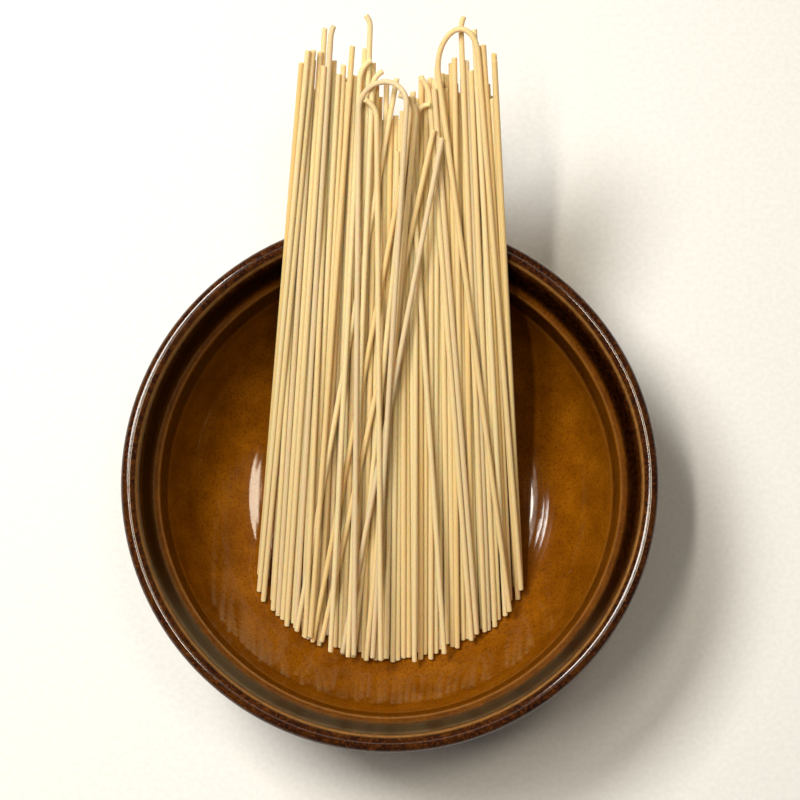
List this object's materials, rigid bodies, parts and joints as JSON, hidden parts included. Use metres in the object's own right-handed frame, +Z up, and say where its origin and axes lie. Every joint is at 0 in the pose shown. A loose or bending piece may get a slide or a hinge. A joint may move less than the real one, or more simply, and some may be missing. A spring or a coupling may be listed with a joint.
{
  "type": "bundle of dry spaghetti in a bowl",
  "caption": "Loose fan of dry spaghetti leaning in a round brown-glazed stoneware bowl, tips on the bowl's wall and upper ends over the rim.",
  "frame": {"origin": "middle of the bowl's flat base, on the surface it stands on", "axes": "+Z up; the spaghetti leans back towards +Y, where its upper ends pass over the rim; its cut tips are at -Y; +X to the right seen from the tips"},
  "size_m": [0.196, 0.2623, 0.1152],
  "materials": {
    "brown_glaze": "glossy amber-brown glaze, speckled, darker on the rim",
    "dry_pasta": "matt pale wheat dough with fine floury grain"
  },
  "bodies": {
    "root": {"bowl": "brown_glaze", "spaghetti_bundle": "dry_pasta"}
  },
  "joints": []
}
